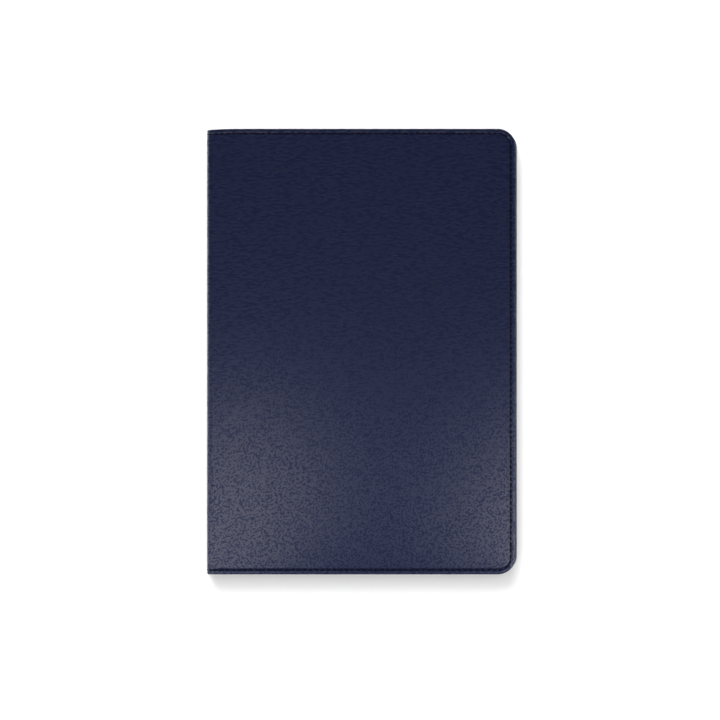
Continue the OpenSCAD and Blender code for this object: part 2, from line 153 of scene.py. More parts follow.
def round_corner(p, q, r):
    """Moves the points of a square corner onto a round one. p and q are distances from the two edges. Points
    at one depth d = min(p, q) lie on an L, whose arms within r of the corner bend onto a circle of radius r
    - d."""
    d, m = np.minimum(p, q), np.maximum(p, q)
    ring = np.maximum(r - d, 1e-9)
    turn = (1 - np.clip((m - d) / ring, 0, 1)) * math.pi / 4
    bent = (d < r) & (m < r)
    near = np.where(bent, r - ring * np.cos(turn), d)
    far = np.where(bent, r - ring * np.sin(turn), m)
    return np.where(p < q, near, far), np.where(p < q, far, near)


class Part:
    """A stretch of the cover between two runs. free says at which run it has its free edge, if it has
    one."""

    def __init__(self, low, high, free=None, more_runs=(), more_y=()):
        self.low, self.high, self.free, self.more_runs, self.more_y = low, high, free, more_runs, more_y
        self.origin, self.away = (high, -1) if free == high else (low, 1)
        self.length = high - low
        self.bow = (corner - seam_in) * math.pi / 2
        side = self.length if free is None else self.length - 2 * corner + self.bow + half_length
        self.stitches = round(side / stitch_length)
        self.pitch = side / self.stitches

    def seam_count(self, p, q):
        """Number of stitches from the seam's start, on the long side, to the seam's point nearest (p, q)."""
        if self.free is None:
            return p / self.pitch
        d, m = np.minimum(p, q), np.maximum(p, q)
        share = np.clip((m - d) / np.maximum(corner - d, 1e-9), 0, 1) * self.bow / 2
        past = np.maximum(m - corner, 0)
        gone = np.where(q <= p, self.bow / 2 - share - past, self.bow / 2 + share + past)
        return (self.length - corner + gone) / self.pitch

    def on_seam(self, count, edge, side):
        """Place (run, y) at a number of stitches from the seam's start and a distance from the cut edge:
        along the long side, round the corner's circle, along the free edge to its middle. side is 1 or
        -1."""
        gone = count * self.pitch
        if self.free is None:
            return self.low + gone, side * (half_length - edge)
        angle = np.clip((gone - self.length + corner) / self.bow, 0, 1) * math.pi / 2
        ring = corner - edge
        p = np.maximum(self.length - gone, corner) - ring * np.sin(angle)
        q = corner - ring * np.cos(angle) + np.maximum(gone - self.length + corner - self.bow, 0)
        return self.origin + self.away * p, side * (half_length - q)

    def grid(self, inset=0.0):
        """Grid over the part: run, y, distance from the cut edge, and place along the seam. Lines lie close
        together over the rim, the folds and the crease, and one lies exactly at the corner's radius."""
        half = half_length - inset
        near = np.concatenate([[0, 0.03, 0.1, 0.2, 0.32, 0.46, 0.62], np.arange(0.85, 2.0, 0.25),
                               np.arange(2.1, 3.05, 0.1), [3.2, 3.5], np.arange(3.9, 6.5, 0.4),
                               [7.4, 8.6, 10 - inset / MM, 12]]) * MM
        field = np.linspace(12 * MM, 2 * half - 12 * MM, 101)[1:-1]
        across = np.concatenate([near, field, half + np.array(self.more_y), 2 * half - near[::-1]])
        reach = np.linspace(0, self.length, 12 + int(self.length / (2.5 * MM)))
        if self.free is not None:
            reach = np.concatenate([near + inset, reach[reach > 14 * MM]])
        fine = np.concatenate([np.linspace(top_fold - 2 * MM, spine_top + 2 * MM, 21),
                               np.linspace(spine_low - 2 * MM, back_start + 2 * MM, 21),
                               np.linspace(crease_run - 4 * MM, crease_run + 4 * MM, 33), self.more_runs])
        fine = (fine - self.origin) * self.away
        reach = np.concatenate([reach, fine[(fine > 13 * MM) & (fine < self.length - 0.1 * MM)]])
        reach, across = (np.unique(np.round(lines, 8)) for lines in (reach, across))
        reach, across = (lines[np.diff(lines, prepend=-1) > 0.02 * MM] for lines in (reach, across))
        p, across = np.meshgrid(reach - (0 if self.free is None else inset), across, indexing="ij")
        q = np.minimum(across, 2 * half - across)
        count = self.seam_count(p + inset, q + inset)
        edge = q
        if self.free is not None:
            edge = np.minimum(p, q)
            p, q = round_corner(p, q, corner - inset)
            p = p + inset
        return self.origin + self.away * p, np.where(across < half, q - half, half - q), edge, count


def on_case(run, y, depth):
    """Points at a depth below the leather's face. One long side is drawn in a little beside the top fold."""
    x, z, nx, nz = case_path(run)
    tuck = 0.7 * MM * hump((run - spine_top) / (9 * MM)) * ease((np.abs(y) - 0.1) / 0.0275) * (y > 0)
    return np.stack([x - nx * depth, y - tuck, z - nz * depth], -1)


def grid_quads(rows, cols, start=0):
    """Corner numbers of the quads of a grid of points, as (m, 4)."""
    i, j = np.meshgrid(np.arange(rows - 1), np.arange(cols - 1), indexing="ij")
    a = start + (i * cols + j).ravel()
    return np.stack([a, a + 1, a + cols + 1, a + cols], -1)


def rim_of(rows, cols):
    """Numbers of the points round a grid's border, in order."""
    n = np.arange(rows * cols).reshape(rows, cols)
    return np.concatenate([n[0, :-1], n[:-1, -1], n[-1, :0:-1], n[:0:-1, 0]])


def new_piece(name, points, faces, maps=(), material=None):
    """A closed mesh from an (n, 3) array of points and lists of corner numbers. Faces are turned outwards,
    and each map is a layer of flat coordinates given point by point."""
    mesh = bpy.data.meshes.new(name)
    places = np.asarray(points, float).reshape(-1, 3).tolist()
    mesh.from_pydata(places, [], [list(map(int, face)) for face in faces])
    work = bmesh.new()
    work.from_mesh(mesh)
    bmesh.ops.recalc_face_normals(work, faces=work.faces)
    work.to_mesh(mesh)
    work.free()
    corners = np.empty(len(mesh.loops), np.int32)
    mesh.loops.foreach_get("vertex_index", corners)
    for title, values in maps:
        layer = mesh.uv_layers.new(name=title)
        layer.data.foreach_set("uv", np.asarray(values, np.float32).reshape(-1, 2)[corners].ravel())
    mesh.shade_smooth()
    mesh.set_sharp_from_angle(angle=math.radians(55))
    piece = bpy.data.objects.new(name, mesh)
    bpy.context.scene.collection.objects.link(piece)
    if material:
        mesh.materials.append(material)
    return piece


def shell_piece(name, outer, inner, maps, material, slot):
    """A closed piece between two grids of points of one size, joined round their borders."""
    rows, cols = outer.shape[:2]
    n = rows * cols
    ring = rim_of(rows, cols)
    after = np.roll(ring, -1)
    wall = np.stack([ring, after, after + n, ring + n], -1)
    faces = np.concatenate([grid_quads(rows, cols), grid_quads(rows, cols, n), wall])
    both = [(title, np.concatenate([values.reshape(-1, 2)] * 2)) for title, values in maps]
    points = np.concatenate([outer.reshape(-1, 3), inner.reshape(-1, 3)])
    return new_piece(name, points, faces, both, material)


def ring_faces(rows, cols, caps=True):
    """Faces through rows of closed rings of points. The ends are flat caps, or the last row joins the
    first."""
    i, j = np.meshgrid(np.arange(rows - (1 if caps else 0)), np.arange(cols), indexing="ij")
    i, j, up, on = i.ravel(), j.ravel(), (i.ravel() + 1) % rows, (j.ravel() + 1) % cols
    faces = np.stack([i * cols + j, i * cols + on, up * cols + on, up * cols + j], -1).tolist()
    if caps:
        faces += [list(range(cols)), list(range((rows - 1) * cols, rows * cols))]
    return faces


def ring_piece(name, rings, maps, material, caps=True):
    """A closed piece through rings of points, (rings, points, 3)."""
    return new_piece(name, rings, ring_faces(*rings.shape[:2], caps), maps, material)


def joined(name, meshes, material, maps=()):
    """One piece out of (points, faces) pairs."""
    start, points, faces = 0, [], []
    for some, corners in meshes:
        points.append(some.reshape(-1, 3))
        faces += [[c + start for c in face] for face in corners]
        start += len(points[-1])
    return new_piece(name, np.concatenate(points), faces, maps, material)


def place(tree, kind, inputs=None, **settings):
    """Adds a node. inputs gives a socket, by name or number, a plain value or another node's output."""
    node = tree.nodes.new(kind)
    for key, value in settings.items():
        setattr(node, key, value)
    for key, value in (inputs or {}).items():
        if isinstance(value, bpy.types.NodeSocket):
            tree.links.new(value, node.inputs[key])
        else:
            node.inputs[key].default_value = value
    return node


def calc(tree, operation, *values, clamp=False):
    """The output of a Math node."""
    node = place(tree, "ShaderNodeMath", dict(enumerate(values)), operation=operation, use_clamp=clamp)
    return node.outputs[0]


def span_of(tree, value, low, high, to_low=0.0, to_high=1.0):
    """The output of a Map Range node that eases a value from one span to another."""
    inputs = {"Value": value, "From Min": low, "From Max": high, "To Min": to_low, "To Max": to_high}
    return place(tree, "ShaderNodeMapRange", inputs, interpolation_type="SMOOTHSTEP").outputs[0]


def noise(tree, spot, scale, detail, **more):
    """The plain output of a Noise Texture node."""
    inputs = {"Vector": spot, "Scale": scale, "Detail": detail, **more}
    return place(tree, "ShaderNodeTexNoise", inputs).outputs[0]


def parts_of(tree, value):
    """The three outputs of a node that takes a vector apart."""
    return place(tree, "ShaderNodeSeparateXYZ", {0: value}).outputs


def new_group(name, inputs, outputs):
    """An empty shader node group with the named inputs and outputs."""
    tree = bpy.data.node_groups.new(name, "ShaderNodeTree")
    for title, kind, value in inputs:
        socket = tree.interface.new_socket(name=title, in_out="INPUT", socket_type=kind)
        if value is not None:
            socket.default_value = value
    for title, kind in outputs:
        tree.interface.new_socket(name=title, in_out="OUTPUT", socket_type=kind)
    return tree, tree.nodes.new("NodeGroupInput").outputs, tree.nodes.new("NodeGroupOutput").inputs


def new_finish(name, **constants):
    """A material with a Principled shader, whose plain numbers are set on its own sockets."""
    finish = bpy.data.materials.new(name)
    finish.use_nodes = True
    tree = finish.node_tree
    tree.nodes.clear()
    shader = place(tree, "ShaderNodeBsdfPrincipled", {k.replace("_", " "): v for k, v in constants.items()})
    out = tree.nodes.new("ShaderNodeOutputMaterial")
    tree.links.new(shader.outputs[0], out.inputs["Surface"])
    return finish, tree, shader


def mix(tree, factor, a, b, way="MIX"):
    """The colour output of a Mix node."""
    node = tree.nodes.new("ShaderNodeMix")
    node.data_type, node.blend_type = "RGBA", way
    for number, value in ((0, factor), (6, a), (7, b)):
        if isinstance(value, bpy.types.NodeSocket):
            tree.links.new(value, node.inputs[number])
        else:
            node.inputs[number].default_value = value
    return node.outputs[2]


def paint(tree, shader, colour, roughness, height, depth):
    """Feeds a shader its colour, its roughness and a relief of a depth."""
    bump = place(tree, "ShaderNodeBump", {"Distance": depth, "Height": height}).outputs[0]
    for title, source in (("Base Color", colour), ("Roughness", roughness), ("Normal", bump)):
        tree.links.new(source, shader.inputs[title])


def bell(tree, value, middle, width):
    """Output of nodes that work out e to the power -((value - middle) / width) squared."""
    far = calc(tree, "DIVIDE", calc(tree, "SUBTRACT", value, middle), width)
    return calc(tree, "POWER", math.e, calc(tree, "MULTIPLY", calc(tree, "MULTIPLY", far, far), -1.0))


def scaled(tree, value, factors):
    """A vector output multiplied part by part."""
    return place(tree, "ShaderNodeVectorMath", {0: value, 1: factors}, operation="MULTIPLY").outputs[0]


FLOAT, VECTOR = "NodeSocketFloat", "NodeSocketVector"

hide, given, made = new_group("pressed leather grain", [("Place", VECTOR, None), ("Wrinkles", FLOAT, 0.5)],
                              [("Height", FLOAT), ("Ridges", FLOAT)])
drift = place(hide, "ShaderNodeTexNoise", {"Vector": given["Place"], "Scale": 300.0, "Detail": 2.0})
moved = place(hide, "ShaderNodeVectorMath", {0: scaled(hide, drift.outputs["Color"], (0.0008, 0.0008, 0)),
              1: given["Place"]}, operation="ADD").outputs[0]
grains = []
for stretch, scale in ((1, 960.0), (0.30, 900.0)):
    drawn = {"Vector": scaled(hide, moved, (stretch, 1, 1)), "Axis": (1, 2, 1), "Angle": 0.9}
    tilted = place(hide, "ShaderNodeVectorRotate", drawn, rotation_type="AXIS_ANGLE").outputs[0]
    grains.append(span_of(hide, noise(hide, tilted, scale, 0.5), 0.35, 0.61))
pebble, wrinkle = grains
ridges = calc(hide, "MULTIPLY_ADD", calc(hide, "SUBTRACT", wrinkle, pebble), given["Wrinkles"], pebble)
dust = noise(hide, given["Place"], 1500.0, 2.0)
hide.links.new(calc(hide, "MULTIPLY_ADD", dust, 0.3, ridges), made["Height"])
hide.links.new(ridges, made["Ridges"])

leather, tree, shader = new_finish("grained navy leather", Specular_IOR_Level=0.50, Coat_Roughness=0.37,
                                   Coat_IOR=1.5, Specular_Tint=(0.18, 0.32, 1.0, 1))
along = place(tree, "ShaderNodeUVMap", uv_map="skin").outputs[0]
sewn = parts_of(tree, place(tree, "ShaderNodeUVMap", uv_map="seam").outputs[0])
patches = noise(tree, along, 34.0, 2.0)
length_y = parts_of(tree, along)[1]
grain = place(tree, "ShaderNodeGroup", node_tree=hide)
tree.links.new(along, grain.inputs["Place"])
tree.links.new(calc(tree, "MULTIPLY_ADD", length_y, 4.5, patches, clamp=True), grain.inputs["Wrinkles"])
valley = bell(tree, sewn[1], seam_in / MM, 0.5)
hole = span_of(tree, calc(tree, "COSINE", calc(tree, "MULTIPLY", sewn[0], 2 * math.pi)), 0.2, 1.0)
relief = calc(tree, "MULTIPLY_ADD", calc(tree, "MULTIPLY", valley, hole), -2.0, grain.outputs["Height"])
leather_colour = mix(tree, grain.outputs["Ridges"], (0.0036, 0.0048, 0.0165, 1), (0.0042, 0.0056, 0.0190, 1))
# The colour is darkened along the sewn valley: painted shade in the groove beside the stitches.
leather_colour = mix(tree, calc(tree, "MULTIPLY", valley, 0.3), leather_colour, (0.2, 0.2, 0.3, 1), "MULTIPLY")
paint(tree, shader, leather_colour, span_of(tree, grain.outputs["Height"], 0.0, 1.2, 0.56, 0.46), relief, 0.16 * MM)
polish = span_of(tree, grain.outputs["Height"], 0.15, 1.10, 0.27, 1.0)
polish = calc(tree, "MULTIPLY", polish, calc(tree, "MULTIPLY_ADD", valley, -0.25, 1.0))
tree.links.new(polish, shader.inputs["Coat Weight"])


def leather_part(name, part, nodes, sunk=None, cutter=None):
    """One part of the leather, from the outer face to the inner side."""
    run, y, edge, count = part.grid()
    maps = [("skin", np.stack([run, y], -1)), ("seam", np.stack([count, edge / MM], -1))]
    outer = outer_depth(run, edge) + (sunk(run, y) if sunk else 0)
    sides = [on_case(run, y, depth) for depth in (outer, inner_depth(run, edge))]
    piece = shell_piece(name, *sides, maps, leather, "leather")
    if cutter:
        cut(piece, cutter)
    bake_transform(piece)
    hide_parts(*nodes)


front_part = Part(0.0, spine_middle, 0.0)
back_part = Part(spine_middle, panel_split)
leather_part("front_leather", front_part, ["front_skin", "spine_skin"])
leather_part("back_leather", back_part, ["back_skin"])

# ---- Leather of the stand flap ----
# Beyond a pressed crease the back cover is the stand's flap, in the same leather. A window for the tablet's
# camera is cut through it, and a narrow strip of leather is folded over the cut edge and glued.
window = np.array([64, 101]) * MM
window_half = np.array([9, 17]) * MM
window_r = 6 * MM
window_run = back_start + window[0] - fold_x
around = np.concatenate([np.arange(-3.5, 3.6, 0.5)] * 2) * MM
sides = np.repeat([-1, 1], 15)
stand_part = Part(panel_split, whole_run, whole_run, window_run + around + sides * window_half[0],
                  window[1] + around + sides * window_half[1])


def window_sink(run, y):
    """A step 0.45 mm deep round the window, where the binding lies. The distance from the window's outline
    is that from its box shrunk by the corner's radius, less the radius."""
    x = np.abs(run - window_run) - window_half[0] + window_r
    y = np.abs(y - window[1]) - window_half[1] + window_r
    far = np.hypot(np.maximum(x, 0), np.maximum(y, 0)) + np.minimum(np.maximum(x, y), 0) - window_r
    return 0.45 * MM * (1 - ease((far / MM - 1.0) / 1.4))


def round_path(middle, half, r, steps=9):
    """Points of a rectangle with round corners and their outward directions, once round and not closed."""
    angle = (np.arange(4)[:, None] + np.linspace(0, 1, steps)) * math.pi / 2
    out = np.stack([np.cos(angle), np.sin(angle)], -1)
    signs = np.array([(1, 1), (-1, 1), (-1, -1), (1, -1)])[:, None]
    return (middle + signs * (half - r) + r * out).reshape(-1, 2), out.reshape(-1, 2)


def cut(piece, cutter):
    """Takes the cutter's space out of a piece."""
    tool = piece.modifiers.new("window", "BOOLEAN")
    tool.object, tool.solver = cutter, "EXACT"
    solid = bpy.data.meshes.new_from_object(piece.evaluated_get(bpy.context.evaluated_depsgraph_get()))
    piece.modifiers.remove(tool)
    piece.data = solid


def cutting_block(middle, half, r, low, high):
    """A rounded block to cut with, between two heights."""
    line = round_path(middle, half, r)[0]
    rings = np.stack([np.column_stack([line, np.full(len(line), z)]) for z in (low, high)])
    return ring_piece("cutter", rings, (), None)


opening = cutting_block(window, window_half, window_r, -0.01, 0.01)
leather_part("stand_leather", stand_part, ["stand_skin"], window_sink,
             opening)
line, out = round_path(window, window_half, window_r)
section = np.array([(1.05, 0.42), (1.0, 0.2), (0.75, 0.08), (0.3, 0.04), (-0.1, 0.12), (-0.3, 0.42),
                    (-0.32, 1.4), (-0.3, 2.3), (-0.15, 2.54), (0.1, 2.6), (0.12, 1.6), (0.12, 0.6),
                    (0.6, 0.55)]) * MM
binding = np.concatenate([line[:, None] + out[:, None] * section[:, :1],
                          np.broadcast_to(section[:, 1:], (len(line), len(section), 1))], -1)
place_maps = np.stack(np.broadcast_arrays(np.arange(len(line))[:, None] * 1.6 * MM,
                                          np.cumsum(np.full(len(section), 0.35 * MM))), -1)
seam_maps = np.broadcast_to((0.5, 9.0), place_maps.shape)
maps = [("skin", place_maps), ("seam", seam_maps)]
window_binding = ring_piece("camera_window_binding", binding, maps, leather, caps=False)
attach(window_binding, "stand")

# ---- Stitches ----
# A lockstitch of near-black twisted thread runs in the sewn valley of every cover. Each stitch rises out of
# one needle hole and dives into the next, 3.4 mm on.
thread, tree, shader = new_finish("waxed sewing thread", Specular_IOR_Level=0.12)
twist = parts_of(tree, place(tree, "ShaderNodeUVMap", uv_map="thread").outputs[0])
round_it = calc(tree, "MULTIPLY", twist[1], 4 * math.pi)
ply = span_of(tree, calc(tree, "SINE", calc(tree, "MULTIPLY_ADD", twist[0], 12.0, round_it)), -1.0, 1.0)
fibre = noise(tree, place(tree, "ShaderNodeTexCoord").outputs["Object"], 5200.0, 2.0)
paint(tree, shader, mix(tree, ply, (0.0010, 0.0014, 0.005, 1), (0.0035, 0.0045, 0.014, 1)),
      span_of(tree, fibre, 0.3, 0.7, 0.6, 0.8), ply, 0.05 * MM)


def stitches(name, part, nodes):
    """Stitches along one part's seam, both sides. Each is a tube of 7 rings of 6 points with closed ends.
    Where t runs from -1 to 1 along it, its radius goes with the square root of 1 - t^4 and its dive with
    t^4."""
    t = np.array([-1, -0.86, -0.5, 0, 0.5, 0.86, 1])
    meshes, maps = [], []
    for side in (-1, 1):
        count = np.arange(part.stitches)[:, None] + 0.5 + 0.37 * t
        edge = seam_in + 0.05 * MM * t + 0 * count
        run = part.on_seam(count, edge, side)[0]
        depth = outer_depth(run, seam_in) + (0.60 * t ** 4 - 0.20) * MM
        near = on_case(*part.on_seam(count, edge, side), depth)
        aside = on_case(*part.on_seam(count, edge + 0.1 * MM, side), depth) - near
        rise = near - on_case(*part.on_seam(count, edge, side), depth + 0.1 * MM)
        aside, rise = (v / np.linalg.norm(v, axis=-1, keepdims=True) for v in (aside, rise))
        r = 0.50 * MM * np.sqrt(np.maximum(1 - t ** 4, 0.02))[None, :, None, None]
        a = (np.arange(6) * math.pi / 3)[None, None, :, None]
        rings = near[:, :, None] + r * (np.cos(a) * aside[:, :, None] + 0.85 * np.sin(a) * rise[:, :, None])
        meshes += [(tube, ring_faces(7, 6)) for tube in rings]
        along = np.broadcast_to(count[:, :, None] * (stitch_length / MM), rings.shape[:3])
        maps.append(np.stack([along, np.broadcast_to(np.arange(6) / 6, along.shape)], -1).reshape(-1, 2))
    piece = joined(name, meshes, thread, [("thread", np.concatenate(maps))])
    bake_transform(piece)
    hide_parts(*nodes)


stitches("front_stitches", front_part, ["front_thread", "spine_thread"])
stitches("back_stitches", back_part, ["back_thread"])
stitches("stand_stitches", stand_part, ["stand_thread"])

# ---- Lining ----
# Brushed microfibre, half a millimetre thick, is glued inside the covers and over the turned-in leather,
# just short of the edge.
lining_cloth, tree, shader = new_finish("brushed microfibre", Specular_IOR_Level=0.2, Sheen_Weight=0.6,
                                        Sheen_Roughness=0.4)
spot = place(tree, "ShaderNodeTexCoord").outputs["Object"]
nap = noise(tree, spot, 3200.0, 3.0, Roughness=0.7)
stroked = noise(tree, spot, 45.0, 4.0)
shade = span_of(tree, calc(tree, "MULTIPLY_ADD", nap, 0.5, calc(tree, "MULTIPLY", stroked, 0.5)), 0.38, 0.62)
paint(tree, shader, mix(tree, shade, (0.0075, 0.0085, 0.017, 1), (0.016, 0.018, 0.032, 1)),
      span_of(tree, stroked, 0.3, 0.7, 0.78, 0.95), nap, 0.05 * MM)


def lining_part(name, part, nodes, cutter=None):
    """One part of the lining: a sheet with its rim rounded over 0.2 mm, following the leather at the
    folds."""
    inset = 0.45 * MM
    run, y, edge = part.grid(inset)[:3]
    top = (2.1 - 1.2 * fold_share(run) * ease(((edge + inset) / MM - 4.0) / 0.8)) * MM
    lip = np.sqrt(np.maximum(1 - (1 - edge / (0.2 * MM)).clip(0, 1) ** 2, 0))
    depths = (top + 0.24 * MM * (1 - lip), top + (0.26 + 0.24 * lip) * MM)
    sides = [on_case(run, y, depth) for depth in depths]
    piece = shell_piece(name, *sides, (), lining_cloth, "lining")
    if cutter:
        cut(piece, cutter)
    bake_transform(piece)
    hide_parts(*nodes)


lining_part("front_lining_cloth", front_part, ["front_lining", "spine_lining"])
lining_part("back_lining_cloth", back_part, ["back_lining"])
lining_part("stand_lining_cloth", stand_part, ["stand_lining"], opening)
bpy.data.objects.remove(opening)


def finish_node(material, *names):
    """Gives CAD nodes a finish."""
    for name in names:
        nodes[name].data.materials.clear()
        nodes[name].data.materials.append(material)


def spotted(name, dark, light, scale, rough, bump, stretch=(1, 1, 1), detail=3.0, **constants):
    """A finish with colour, roughness and relief from fine noise on object coordinates, and a broad one in
    the colour. rough is the roughness of its low and high spots, and bump the relief's depth."""
    finish, tree, shader = new_finish(name, **constants)
    spot = scaled(tree, place(tree, "ShaderNodeTexCoord").outputs["Object"], stretch)
    fine = noise(tree, spot, scale, detail)
    broad = noise(tree, spot, scale * 0.03, 2.0)
    shade = calc(tree, "MULTIPLY_ADD", broad, 0.5, calc(tree, "MULTIPLY", fine, 0.5))
    paint(tree, shader, mix(tree, span_of(tree, shade, 0.36, 0.64), (*dark, 1), (*light, 1)),
          span_of(tree, fine, 0.3, 0.7, *rough), fine, bump)
    return finish


grey_board = spotted("grey board", (0.16, 0.14, 0.12), (0.27, 0.25, 0.22), 900.0, (0.8, 0.95), 0.05 * MM,
                     (1, 0.25, 1))
finish_node(grey_board, "front_board", "spine_board", "back_board", "stand_board")

# ---- Magnets and steel ----
# Nickel-plated magnets sit in the stand's board and in the keyboard's front wall. Zinc-plated steel strips
# in the tray are what they hold to.
nickel = spotted("nickel plate", (0.52, 0.51, 0.48), (0.60, 0.58, 0.55), 700.0, (0.18, 0.30), 0.004 * MM,
                 Metallic=1.0)
zinc = spotted("zinc plate", (0.48, 0.50, 0.52), (0.60, 0.61, 0.62), 900.0, (0.25, 0.42), 0.006 * MM,
               (1, 0.05, 1), Metallic=1.0)
finish_node(nickel, "stand_magnets", "closure_magnets")
finish_node(zinc, "stand_keeper_plate", "closure_keepers")

# ---- Tablet tray ----
# One moulding of black plastic with a fine matt texture, bonded to the fixed panel of the back cover. Its
# corners have lips that the tablet snaps under.


def moulded(name, dark, light, rough, **constants):
    """Plastic with the fine pebbled texture that a spark-eroded mould leaves."""
    return spotted(name, dark, light, 3600.0, rough, 0.012 * MM, detail=1.0, **constants)


def softened(name, node, width, material, body, parting=None):
    """A copy of a CAD node with its flat faces made whole and its edges rounded, which stands for it. Faces
    are parted at the height parting, so that no face has a hole there."""
    mesh = nodes[node].data.copy()
    work = bmesh.new()
    work.from_mesh(mesh)
    bmesh.ops.remove_doubles(work, verts=work.verts, dist=0.003 * MM)
    if parting:
        whole = list(work.verts) + list(work.edges) + list(work.faces)
        made = bmesh.ops.bisect_plane(work, geom=whole, plane_co=(0, 0, parting), plane_no=(0, 0, 1))
        for edge in [item for item in made["geom_cut"] if isinstance(item, bmesh.types.BMEdge)]:
            edge.seam = True
    bmesh.ops.dissolve_limit(work, angle_limit=math.radians(0.5), verts=work.verts, edges=work.edges,
                             delimit={"SEAM"})
    work.to_mesh(mesh)
    work.free()
    if "custom_normal" in mesh.attributes:
        mesh.attributes.remove(mesh.attributes["custom_normal"])
    mesh.shade_smooth()
    mesh.materials.clear()
    mesh.materials.append(material)
    piece = bpy.data.objects.new(name, mesh)
    bpy.context.scene.collection.objects.link(piece)
    rounding = piece.modifiers.new("rounded edges", "BEVEL")
    rounding.width, rounding.segments, rounding.limit_method = width, 2, "ANGLE"
    rounding.angle_limit, rounding.harden_normals, rounding.use_clamp_overlap = math.radians(35), True, False
    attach(piece, body)
    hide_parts(node)
    return piece


tray_black = moulded("tray plastic", (0.011, 0.011, 0.013), (0.017, 0.017, 0.020), (0.42, 0.60))
slots_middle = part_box("tray")[0][2] + 4.8 * MM
softened("tablet_tray", "tray", 0.22 * MM, tray_black, "back", slots_middle)

# ---- Felt pad and bonding tapes ----
# A sheet of short-pile felt lines the tray's floor. White foam tape bonds the tray to the back cover and the
# keyboard to the front cover.


def pad_piece(name, low, high, r, lip, wave, material, slot, body, node, cutter=None):
    """A flat sheet between two places, with corners of radius r, edges rounded over lip, and a face that
    waves by a sum of three sines."""
    spans = [np.concatenate([[0, 0.06, 0.2, 0.5, 1], np.linspace(r / lip, (hi - lo) / 2 / lip, 14)]) * lip
             for lo, hi in zip(low[:2], high[:2])]
    mirrored = [np.concatenate([span, 2 * span[-1] - span[-2::-1]]) for span in spans]
    p, q = np.meshgrid(*mirrored, indexing="ij")
    sizes = [2 * span[-1] for span in spans]
    p_in, q_in = round_corner(np.minimum(p, sizes[0] - p), np.minimum(q, sizes[1] - q), r)
    edge = np.minimum(np.minimum(p, sizes[0] - p), np.minimum(q, sizes[1] - q))
    x = np.where(p < sizes[0] / 2, low[0] + p_in, high[0] - p_in)
    y = np.where(q < sizes[1] / 2, low[1] + q_in, high[1] - q_in)
    half = (high[2] - low[2]) / 2
    rise = half * np.sqrt(np.maximum(1 - (1 - edge / lip).clip(0, 1) ** 2, 0))
    relief = wave * (np.sin(x * 310) + np.sin(y * 230 + x * 90) + np.sin(y * 410) - 3) / 6 * (edge > lip)
    faces = [np.stack([x, y, low[2] + half + rise + relief], -1), np.stack([x, y, low[2] + half - rise], -1)]
    piece = shell_piece(name, *faces, (), material, slot)
    if cutter:
        cut(piece, cutter)
        bpy.data.objects.remove(cutter)
    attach(piece, body)
    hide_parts(node)


felt = spotted("short felt", (0.020, 0.021, 0.027), (0.042, 0.044, 0.054), 2400.0, (0.85, 1.0), 0.09 * MM,
               Sheen_Weight=0.5, Sheen_Roughness=0.5, Specular_IOR_Level=0.15)
foam = spotted("foam tape", (0.62, 0.61, 0.58), (0.74, 0.73, 0.70), 3000.0, (0.7, 0.9), 0.03 * MM)
notch = cutting_block(window, window_half + 1.5 * MM, 7.5 * MM, -0.01, 0.02)
pad_low, pad_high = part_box("tray_pad")
pad_piece("tray_felt", pad_low, pad_high, 4.2 * MM, 0.18 * MM, 0.05 * MM, felt, "felt", "back", "tray_pad",
          notch)
tape_low, tape_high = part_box("tray_adhesive")
pad_piece("tray_tape", tape_low, tape_high, 1.0 * MM, 0.1 * MM, 0.0, foam, "adhesive", "back",
          "tray_adhesive")
bond_low, bond_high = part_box("bonding_pads")
for k, name in enumerate(("left", "middle", "right")):
    low, high = bond_low.copy(), bond_high.copy()
    low[1], high[1] = (45 - 70 * k) * MM, (95 - 70 * k) * MM
    pad_piece("keyboard_tape_" + name, low, high, 1.0 * MM, 0.1 * MM, 0.0, foam, "adhesive", "front",
              "bonding_pads")

# ---- Keyboard body ----
# A shallow plastic base closed by a thin frame with a window for every key. Six screws from below hold them
# together.
keyboard_black = moulded("keyboard plastic", (0.014, 0.014, 0.016), (0.022, 0.022, 0.025), (0.40, 0.58))
softened("keyboard_lower_shell", "keyboard_base", 0.25 * MM, keyboard_black, "front")
softened("keyboard_top_frame", "keyboard_frame", 0.15 * MM, keyboard_black, "front")
screw_steel = spotted("plated screws", (0.34, 0.34, 0.35), (0.46, 0.46, 0.47), 1500.0, (0.25, 0.40),
                      0.004 * MM, Metallic=1.0)
finish_node(screw_steel, "keyboard_screws")

# ---- Inside the keyboard ----
# An aluminium plate carries the keys. On it lie a printed contact film and white folded links that guide the
# keys. The battery, the board and its switches lie beside them.
sheet_metal = spotted("aluminium sheet", (0.50, 0.51, 0.52), (0.64, 0.65, 0.66), 800.0, (0.30, 0.45),
                      0.005 * MM, (0.04, 1, 1), Metallic=1.0)
finish_node(sheet_metal, "key_support_plate")
link_white = moulded("link plastic", (0.62, 0.62, 0.60), (0.74, 0.74, 0.72), (0.35, 0.5))
finish_node(link_white, "scissor_clips")


def printed(name, ground, print_colour, scale, width, rough):
    """A flat part with a printed net of lines: they run in the middles and at the borders of square
    cells."""
    finish, tree, shader = new_finish(name)
    spot = place(tree, "ShaderNodeTexCoord").outputs["Object"]
    cells = place(tree, "ShaderNodeTexVoronoi", {"Vector": spot, "Scale": scale, "Randomness": 0.75},
                  distance="CHEBYCHEV")
    line = span_of(tree, calc(tree, "PINGPONG", cells.outputs["Distance"], 0.25), 0.0, width, 1.0, 0.0)
    dust = noise(tree, spot, 1500.0, 2.0)
    paint(tree, shader, mix(tree, line, (*ground, 1), (*print_colour, 1)),
          span_of(tree, dust, 0.3, 0.7, *rough), line, 0.01 * MM)
    return finish


